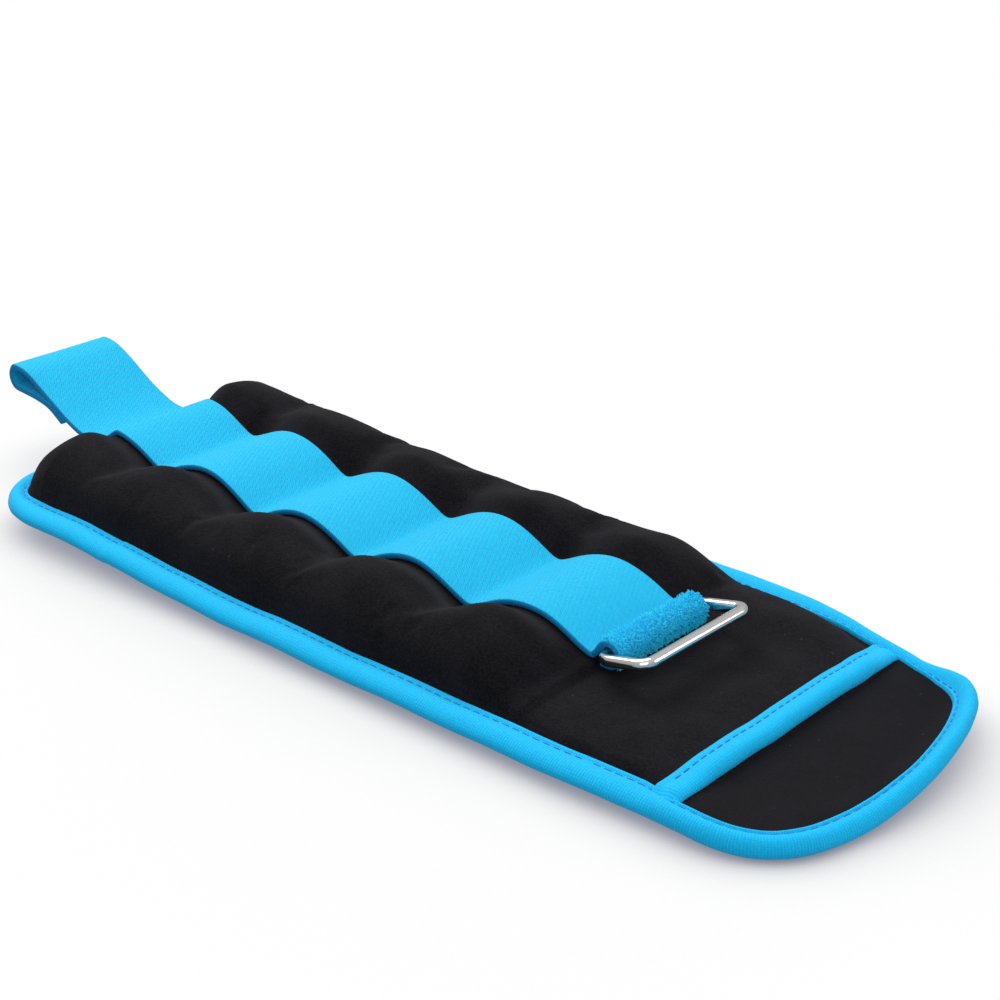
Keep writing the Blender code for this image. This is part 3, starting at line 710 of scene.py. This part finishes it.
def outline_path():
    """The binding's outer edge as a closed path, from the first split on the near side and to the right."""
    near_x = corner_centre(NEAR_CORNER, NEAR_LEAN, -1)
    far_x = corner_centre(FAR_CORNER, FAR_LEAN, 1)
    near_y, far_y = OUTER_HALF - NEAR_CORNER, OUTER_HALF - FAR_CORNER
    near_end, far_end = near_y + NEAR_CORNER * math.sin(NEAR_LEAN), far_y + FAR_CORNER * math.sin(FAR_LEAN)
    path = [(s, -OUTER_HALF) for s in stations(SPLITS[0], near_x, 1.4)]
    path += arc_points((near_x, -near_y), NEAR_CORNER, np.linspace(-90, -math.degrees(NEAR_LEAN), 28)[1:])
    path += [(float(flap_outline(np.array(y), 0.0)), y) for y in np.linspace(-near_end, far_end, 56)[1:]]
    path += arc_points((far_x, far_y), FAR_CORNER, np.linspace(math.degrees(FAR_LEAN), 90, 31)[1:])
    path += [(s, OUTER_HALF) for s in stations(SPLITS[0], far_x, 1.4)[-2::-1]]
    path += [(x, OUTER_HALF) for x in np.linspace(SPLITS[0], LEFT_CORNER, 36)[1:]]
    left_y = OUTER_HALF - LEFT_CORNER
    path += arc_points((LEFT_CORNER, left_y), LEFT_CORNER, np.linspace(90, 180, 21)[1:])
    path += [(0.0, y) for y in np.linspace(left_y, -left_y, 60)[1:]]
    path += arc_points((LEFT_CORNER, -left_y), LEFT_CORNER, np.linspace(180, 270, 21)[1:])
    path += [(x, -OUTER_HALF) for x in np.linspace(LEFT_CORNER, SPLITS[0], 36)[1:-1]]
    return np.array(path)


# Upper half of the binding's section: distance in from its outer edge, and height above its middle
SECTION = [
    (0.0, 0.9), (0.1, 1.7), (0.4, 2.2), (0.85, 2.3), (1.25, 2.05), (1.6, 1.75), (1.95, 1.72), (2.45, 2.05),
    (3.3, 2.5), (4.6, 2.85), (6.0, 2.82), (7.3, 2.45), (8.4, 1.75), (9.2, 0.9), (9.5, 0.0),
]


def build_binding():
    """The tape round the whole edge, in runs that meet midway between the seams, each with its stitches."""
    path = outline_path()
    outward = outward_of(path)
    section = np.array(SECTION + [(n, -z) for n, z in reversed(SECTION[:-1])])
    travelled, round_it = run_length(path), run_length(section)
    round_it = np.append(round_it, round_it[-1] + 2 * SECTION[0][1])
    px, py = path[:, 0], path[:, 1]
    narrowed = np.where(py > 0, smooth((px - 222.0) / 30.0), smooth((px - 256.0) / 14.0))
    inner = (BINDING_WIDTH - FLAP_TAPE_NARROWER * narrowed)[:, None, None]
    trimmed = LEFT_TAPE_TRIMMED + LEFT_CORNER_TRIMMED * smooth((-36.0 - py) / 16.0)
    outer = (trimmed * (1 - smooth((px - 6.0) / 22.0)))[:, None, None]
    inward = (inner - outer) * section[None, :, :1] / BINDING_WIDTH - inner
    flat = path[:, None, :] + outward[:, None, :] * inward
    x, y = flat[..., 0], flat[..., 1]
    wave = wobble(travelled, 0 * travelled, 26.0, 41)[:, None] * 0.25
    swell = 1 + 0.035 * wobble(travelled, 0 * travelled, 13.0, 43)[:, None]
    z = EDGE_MID + section[None, :, 1] * swell + wave + lift(x)
    points = settle(np.stack([x, y, z], axis=2))
    uv = uv_grid(travelled, round_it)
    closed_points = np.concatenate([points[-1:], points, points[:1]])
    normals = grid_normals(closed_points, True, False)[1:-1]
    closing = uv[:1] + (travelled[-1] + float(np.linalg.norm(path[0] - path[-1])), 0.0)
    near_at = [int(np.argmin(np.hypot(px - s, py + OUTER_HALF))) for s in SPLITS]
    far_at = [int(np.argmin(np.hypot(px - s, py - OUTER_HALF))) for s in SPLITS]
    runs = []
    for k in range(4):
        runs.append((f"near_tape_{k + 2}", SPANS[k + 1], np.arange(near_at[k], near_at[k + 1] + 1)))
        runs.append((f"far_tape_{k + 2}", SPANS[k + 1], np.arange(far_at[k + 1], far_at[k] + 1)))
    runs.append(("flap_tape", SPANS[5], np.arange(near_at[4], far_at[4] + 1)))
    points, normals = (np.concatenate([field, field[:1]]) for field in (points, normals))
    uv = np.concatenate([uv, closing])
    runs.append(("left_tape", SPANS[0], np.arange(far_at[0], len(path) + 1)))
    stands_for = {
        "flap_tape": ("flap_binding", "near_binding_tab", "far_binding_tab"),
        "left_tape": ("left_end_binding",),
    }
    for name, span, rows in runs:
        piece = grid_object(name, points, uv, TAPE, closed=True, rows=rows, normals=normals)
        bend_at(piece, span, 7.0)
        side, _, index = name.partition("_tape_")
        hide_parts(*stands_for.get(name, (f"{side}_binding_{index}",)))
        add_stitches(name + "_stitches", points[rows], span)


def stitch_run(line, at, begins, up):
    """Starts, ends and up directions of the stitches that begin at these places along a line of points."""
    def spot(place):
        return np.array([np.interp(place, at, line[:, c]) for c in range(3)]) + THREAD_PROUD * up

    return [spot(b) for b in begins], [spot(b + STITCH_LENGTH) for b in begins], [up for _ in begins]


def add_stitches(name, points, span):
    """Dashes of dark thread in the groove near the tape's inner edge, above and below."""
    starts, ends, ups = [], [], []
    last = len(SECTION) * 2 - 2
    for column, side in ((STITCH_COLUMN, 1.0), (last - STITCH_COLUMN, -1.0)):
        line = points[:, column]
        at = run_length(line)
        begins = np.arange(0.5, at[-1] - STITCH_LENGTH, STITCH_PITCH)
        run = stitch_run(line, at, begins, np.array([0, 0, side]))
        starts, ends, ups = starts + run[0], ends + run[1], ups + run[2]
    piece = capsule_mesh(name, starts, ends, THREAD_RADIUS, ups, THREAD)
    bend_at(piece, span, 7.0)


def build_cross_binding():
    """The rolled tape over the end of the tab's cover."""
    section = np.array([
        (0.0, 0.2), (0.05, 0.75), (0.4, 1.1), (1.1, 1.2), (1.7, 0.95), (2.2, 0.95), (2.9, 1.3), (3.8, 1.8),
        (5.0, 2.15), (6.2, 2.05), (7.2, 1.5), (7.9, 0.6), (8.1, -0.5), (7.8, -1.5), (7.0, -2.2), (5.0, -2.4),
        (2.0, -2.0), (0.2, -1.0),
    ])
    y = np.linspace(-RIM_HALF, RIM_HALF, 89)
    x = CROSS_TAPE_X + section[None, :, 0] + 0.3 * wobble(y, 0 * y, 40.0, 51)[:, None]
    tucked = smooth((np.abs(y) - 34.0) / 16.0)[:, None]
    ended = smooth((np.abs(y) - 51.0) / 3.5)[:, None]
    z = 8.1 - 1.1 * tucked - 1.9 * ended + section[None, :, 1] * (1 - 0.35 * tucked)
    z = z + 0.15 * wobble(y, 0 * y, 17.0, 53)[:, None]
    grid_y = np.repeat(y[:, None], len(section), axis=1)
    points = settle(np.stack([x, grid_y, z], axis=2))
    round_it = run_length(section)
    uv = uv_grid(y, np.append(round_it, round_it[-1] + 1.2))
    piece = grid_object("cross_tape", points, uv, TAPE, closed=True)
    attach(piece, "tab")
    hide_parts("cross_binding")
    begins = np.arange(-47.0, 45.0, STITCH_PITCH)
    starts, ends, ups = stitch_run(points[:, 5], y, begins, np.array([0, 0, 1.0]))
    stitches = capsule_mesh("cross_tape_stitches", starts, ends, THREAD_RADIUS, ups, THREAD)
    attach(stitches, "tab")


# ---------------------------------------------------------------- strap


def spline(knots, step=0.8):
    """A smooth curve through knots in X and Z, at even steps."""
    knots = np.array(knots, float)
    padded = np.concatenate([[2 * knots[0] - knots[1]], knots, [2 * knots[-1] - knots[-2]]])
    fine = []
    for p0, p1, p2, p3 in zip(padded, padded[1:], padded[2:], padded[3:]):
        t = np.linspace(0, 1, 24, endpoint=False)[:, None]
        fine.append(0.5 * (2 * p1 + (p2 - p0) * t + (2 * p0 - 5 * p1 + 4 * p2 - p3) * t**2
                           + (3 * p1 - p0 - 3 * p2 + p3) * t**3))
    fine = np.concatenate(fine + [knots[-1:]])
    at = run_length(fine)
    even = np.linspace(0, at[-1], round(at[-1] / step) + 1)
    return np.stack([np.interp(even, at, fine[:, 0]), np.interp(even, at, fine[:, 1])], axis=1), even


def strap_section():
    """Outline of the webbing as (across, up) with rounded edges, and the V of each of its points.

    V goes beyond the webbing's half width on its edges, where the webbing gets painted shade.
    """
    thick, flat_half = STRAP_THICK / 2, STRAP_HALF - STRAP_ROUNDING
    flat = np.linspace(-flat_half, flat_half, 20)
    turns = np.radians([35, 65, 90, 115, 145])
    right = [(flat_half + STRAP_ROUNDING * math.sin(a), thick * math.cos(a)) for a in turns]
    left = [(-y, -z) for y, z in right]
    section = np.array([(y, thick) for y in flat] + right + [(-y, -thick) for y in flat] + left)
    edge = np.full(len(turns), STRAP_HALF + 0.6)
    return section, np.concatenate([flat, edge, -flat, -edge, flat[:1]])


def strap_surface(path, travelled):
    """Points and UV of the webbing carried along a path of its middle in X and Z."""
    section, across = strap_section()
    along = np.gradient(path, axis=0)
    along /= np.linalg.norm(along, axis=1, keepdims=True)
    normal = np.stack([-along[:, 1], along[:, 0]], axis=1)
    x = path[:, :1] + normal[:, :1] * section[None, :, 1]
    z = path[:, 1:] + normal[:, 1:] * section[None, :, 1]
    y = np.repeat(section[None, :, 0], len(path), axis=0)
    z = z + 0.12 * wobble(travelled[:, None], y, 21.0, 61)
    points = np.stack([x, y, z], axis=2)
    return points, uv_grid(travelled, across)


def build_strap():
    """The webbing from its folded tip to the ring, cut into pieces; the folded tip is attached to the
    strap's fold.
    """
    half = STRAP_THICK / 2
    fold_centre = (-29.7, 28.5)
    tip = [(-7.5, 18.6), (-13.5, 22.2), (-20.0, 24.0), (-26.5, 24.6)]
    tail = [(-25.0, 31.2), (-19.0, 28.3), (-12.0, 24.1), (-4.0, 19.7), (3.5, 17.0)]
    arc = arc_points(fold_centre, 3.8, (250, 215, 180, 145, 110))
    over_x = stations(TAIL_ROOT_X, LAST_SEAM - 0.2, 1.1)
    over = [(s, float(strap_top(np.array(s))) - half) for s in over_x]
    start, _ = spline(tip + arc + tail + over[:4])
    body = np.array(over[3:])
    path = np.concatenate([start[:-1], body])
    travelled = run_length(path)
    points, uv = strap_surface(path, travelled)
    normals = grid_normals(points, True, True)
    arc_start, arc_end = (int(np.argmin(np.linalg.norm(path - spot, axis=1))) for spot in (arc[0], arc[-1]))
    before_fold = np.arange(len(path)) < arc_end
    cut_first = int(np.argmin(np.abs(path[:, 0] - PITCH / 2) + 50 * before_fold))
    cuts = [int(np.argmin(np.abs(path[:, 0] - s))) for s in SPLITS[:4]]

    def piece(name, low, high, caps=()):
        return grid_object(
            name, points, uv, WEBBING, closed=True, flip=True, rows=np.arange(low, high + 1),
            normals=normals, caps=caps)

    folded = piece("strap_folded_tip", 0, arc_start, caps=("start",))
    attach(folded, "strap_fold")
    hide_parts("strap_tip")
    bend = piece("strap_fold_bend", arc_start, arc_end)
    tuple(to_frame([-31.0, 0, fold_centre[1] + 2.4]))
    tuple(to_frame([-31.0, 0, fold_centre[1] - 2.4]))
    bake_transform(bend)
    tail_piece = piece("strap_free_end", arc_end, cut_first)
    tuple(to_frame([TAIL_ROOT_X - 5, 0, 17]))
    tuple(to_frame([TAIL_ROOT_X + 5, 0, 17]))
    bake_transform(tail_piece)
    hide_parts("strap_tail")
    lows = [cut_first] + cuts
    highs = cuts + [len(path) - 1]
    for k in range(5):
        bit = piece(f"strap_run_{k + 1}", lows[k], highs[k])
        bend_at(bit, SPANS[k], 8.0 if k < 4 else 5.0)
        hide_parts(f"strap_over_pocket_{k + 1}")
    build_loop(path[-1], travelled[-1])
    build_patch()


def build_loop(start, travelled):
    """The strap's end round the ring's inner bar, with its brushed pile side out."""
    centre_x, centre_z = RING_PIVOT
    knots = [tuple(start - (1.0, 0)), tuple(start), (start[0] + 1.6, start[1] + 1.6)]
    knots += arc_points((centre_x + 0.2, centre_z), LOOP_RADIUS, (140, 112, 84, 56, 28, 0, -28, -56, -84))
    knots += [(centre_x - 2.0, centre_z - 3.1)]
    path, even = spline(knots, 0.5)
    points, uv = strap_surface(path[2:], travelled + even[2:])
    loop = grid_object("strap_loop", points, uv, WEBBING, closed=True, flip=True, caps=("start", "end"))
    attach(loop, "tab")
    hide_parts("strap_ring_loop")
    rng = np.random.default_rng(71)
    starts, ends, ups = [], [], []
    for _ in range(PILE_COUNT):
        angle = math.radians(rng.uniform(-48, 124))
        spot_y = rng.uniform(-18.2, 18.2)
        out = np.array([math.cos(angle), 0.0, math.sin(angle)])
        root = np.array([centre_x + 0.2, spot_y, centre_z]) + out * 4.0
        lean = rng.normal(0, 0.3, 3)
        tip = root + out * rng.uniform(0.3, 0.95) + lean
        tip[1] = min(max(tip[1], -18.6), 18.6)
        starts.append(root)
        ends.append(tip)
        ups.append(np.array([0.1, 1.0, 0.2]))
    pile = capsule_mesh("loop_pile", starts, ends, PILE_RADIUS, ups, PILE, sides=4)
    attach(pile, "tab")


def build_patch():
    """The strip of moulded hooks on the outer face of the folded tip."""
    path, _ = spline([(-27.5, 22.75), (-24.0, 22.75), (-20.0, 22.1), (-16.5, 21.3), (-13.5, 20.2)], 0.6)
    y = np.linspace(-16, 16, 40)
    uv = uv_grid(path[:, 0], y)
    z = np.repeat(path[:, 1:], len(y), axis=1)
    points = np.stack([uv[..., 0], uv[..., 1], z - 0.45], axis=2)
    patch = grid_object("hook_strip", points, uv, HOOKS, flip=True)
    patch.modifiers.new("depth", "SOLIDIFY").thickness = 0.0006
    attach(patch, "strap_fold")
    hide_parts("hook_patch")
    starts, ends, ups = [], [], []
    for k in range(1, len(path) - 1, 2):
        for spot in np.arange(-15.2, 15.3, 1.25):
            root = np.array([path[k, 0], spot, path[k, 1] - 0.5])
            starts.append(root)
            ends.append(root + (0.35, 0.0, -0.75))
            ups.append(np.array([0, 1.0, 0]))
    hooks = capsule_mesh("hook_strip_hooks", starts, ends, HOOK_RADIUS, ups, HOOKS, sides=4)
    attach(hooks, "strap_fold")


# ---------------------------------------------------------------- ring


def build_ring():
    """Closed rectangle of plated wire, a little flattened on its faces."""
    span, half, corner, radius = RING_SPAN, RING_WIDTH / 2, RING_CORNER, RING_WIRE_RADIUS
    corners = [(span - corner, -half + corner, 270), (span - corner, half - corner, 0),
               (corner, half - corner, 90), (corner, -half + corner, 180)]
    path = []
    for cx, cy, angle in corners:
        for step in np.linspace(0, 90, 14):
            a = math.radians(angle + step)
            path.append((cx + corner * math.cos(a), cy + corner * math.sin(a)))
    path = np.array(path)
    fine = []
    for a, b in zip(path, np.roll(path, -1, axis=0)):
        parts = max(1, round(float(np.linalg.norm(b - a)) / 1.5))
        fine += [a + (b - a) * t / parts for t in range(parts)]
    path = np.array(fine)
    outward = outward_of(path)
    turns = np.linspace(0, 2 * math.pi, 28, endpoint=False)
    squared = 1 / (np.abs(np.cos(turns)) ** 2.6 + np.abs(np.sin(turns)) ** 2.6) ** (1 / 2.6)
    out, up = radius * 0.97 * squared * np.cos(turns), radius * 0.93 * squared * np.sin(turns)
    flat = path[:, None, :] + outward[:, None, :] * out[None, :, None]
    lx, ly = flat[..., 0], flat[..., 1]
    lz = np.repeat(up[None], len(path), axis=0)
    x = RING_PIVOT[0] + lx * math.cos(RING_TILT) - lz * math.sin(RING_TILT)
    z = RING_PIVOT[1] + lx * math.sin(RING_TILT) + lz * math.cos(RING_TILT)
    points = np.stack([x, ly, z], axis=2)
    points = np.concatenate([points, points[:1]])
    uv = np.zeros((len(points), len(turns) + 1, 2))
    ring = grid_object("wire_ring", points, uv, NICKEL, closed=True)
    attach(ring, "ring")
    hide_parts("rectangular_ring")


# ---------------------------------------------------------------- stage


def build_stage():
    """A floor that is a clear film with a painted soft shadow, three lamps, and a white backdrop in a bright
    room.
    """
    mesh = bpy.data.meshes.new("floor")
    size = 3.0
    corners = [(-size, -size, 0), (size, -size, 0), (size, size, 0), (-size, size, 0)]
    mesh.from_pydata(corners, [], [(0, 1, 2, 3)])
    n = Nodes("floor_white")
    # painted shadow: the film darkens where ambient occlusion, leaned toward the key lamp, finds the cuff
    # nearby; the floor takes no cast shadow
    toward_light = n.add("ShaderNodeCombineXYZ", X=-0.42, Y=0.25, Z=0.87)
    open_sky = n.add("ShaderNodeAmbientOcclusion", samples=16, Distance=0.16)
    n.join(toward_light.outputs[0], open_sky.inputs["Normal"])
    film = n.add("ShaderNodeBsdfTransparent")
    shadow = n.ramp(open_sky.outputs["AO"], [(0.0, (0.14, 0.165, 0.235)), (0.93, (1.0, 1.0, 1.0))])
    n.join(shadow, film.inputs["Color"])
    n.join(film.outputs[0], n.tree.nodes["Material Output"].inputs["Surface"])
    floor = new_object("floor", mesh, n.material)
    floor.location.z = -0.0003
    floor.visible_shadow = floor.visible_diffuse = floor.visible_glossy = False
    lights = (
        ("key_above", (-0.55, 0.25, 0.85), (0.0, 0.0, 0.0), 0.7, 9.5, (1.0, 0.995, 0.985)),
        ("fill_front", (0.55, -0.75, 0.55), (0.0, 0.0, 0.0), 0.9, 2.5, (0.97, 0.985, 1.0)),
        ("rim_right", (0.8, 0.5, 0.35), (0.1, 0.0, 0.0), 0.5, 2.0, (1.0, 1.0, 1.0)),
    )
    for name, where, target, size, power, colour in lights:
        data = bpy.data.lights.new(name, "AREA")
        data.shape, data.size, data.energy, data.color = "SQUARE", size, power, colour
        lamp = bpy.data.objects.new(name, data)
        lamp.location = where
        lamp.rotation_euler = (Vector(target) - Vector(where)).to_track_quat("-Z", "Y").to_euler()
        bpy.context.scene.collection.objects.link(lamp)
    world = bpy.data.worlds.new("studio")
    world.use_nodes = True
    tree = world.node_tree
    backdrop = tree.nodes["Background"]
    backdrop.inputs["Color"].default_value = (1.0, 1.0, 1.0, 1.0)
    backdrop.inputs["Strength"].default_value = 1.0
    room = tree.nodes.new("ShaderNodeBackground")
    room.inputs["Strength"].default_value = 0.62
    direction = tree.nodes.new("ShaderNodeTexCoord")
    parts = tree.nodes.new("ShaderNodeSeparateXYZ")
    shade = tree.nodes.new("ShaderNodeValToRGB")
    shade.color_ramp.elements[0].position, shade.color_ramp.elements[1].position = 0.0, 0.8
    shade.color_ramp.elements[0].color = (0.62, 0.63, 0.66, 1.0)
    shade.color_ramp.elements[1].color = (1.0, 1.0, 1.0, 1.0)
    seen = tree.nodes.new("ShaderNodeLightPath")
    choose = tree.nodes.new("ShaderNodeMixShader")
    tree.links.new(direction.outputs["Generated"], parts.inputs[0])
    tree.links.new(parts.outputs[2], shade.inputs["Fac"])
    tree.links.new(shade.outputs["Color"], room.inputs["Color"])
    tree.links.new(seen.outputs["Is Camera Ray"], choose.inputs[0])
    tree.links.new(room.outputs[0], choose.inputs[1])
    tree.links.new(backdrop.outputs[0], choose.inputs[2])
    tree.links.new(choose.outputs[0], tree.nodes["World Output"].inputs["Surface"])
    bpy.context.scene.world = world
    bpy.context.scene.view_settings.view_transform = "Standard"


def build_camera():
    data = bpy.data.cameras.new("camera")
    data.lens, data.sensor_width = 72.0, 36.0
    data.clip_end = 20.0
    camera = bpy.data.objects.new("camera", data)
    right = Vector((0.744, 0.668, 0.0))
    up = Vector((-0.268, 0.299, 0.916))
    back = Vector((0.612, -0.682, 0.401))
    turn = Matrix((right, up, back)).transposed().to_quaternion()
    camera.rotation_mode = "QUATERNION"
    camera.rotation_quaternion = turn
    camera.location = (0.36565, -0.3729, 0.2555)
    bpy.context.scene.collection.objects.link(camera)
    bpy.context.scene.camera = camera


build_cover()
build_lining()
build_flap_face()
build_binding()
build_cross_binding()
build_strap()
build_ring()
build_stage()
build_camera()
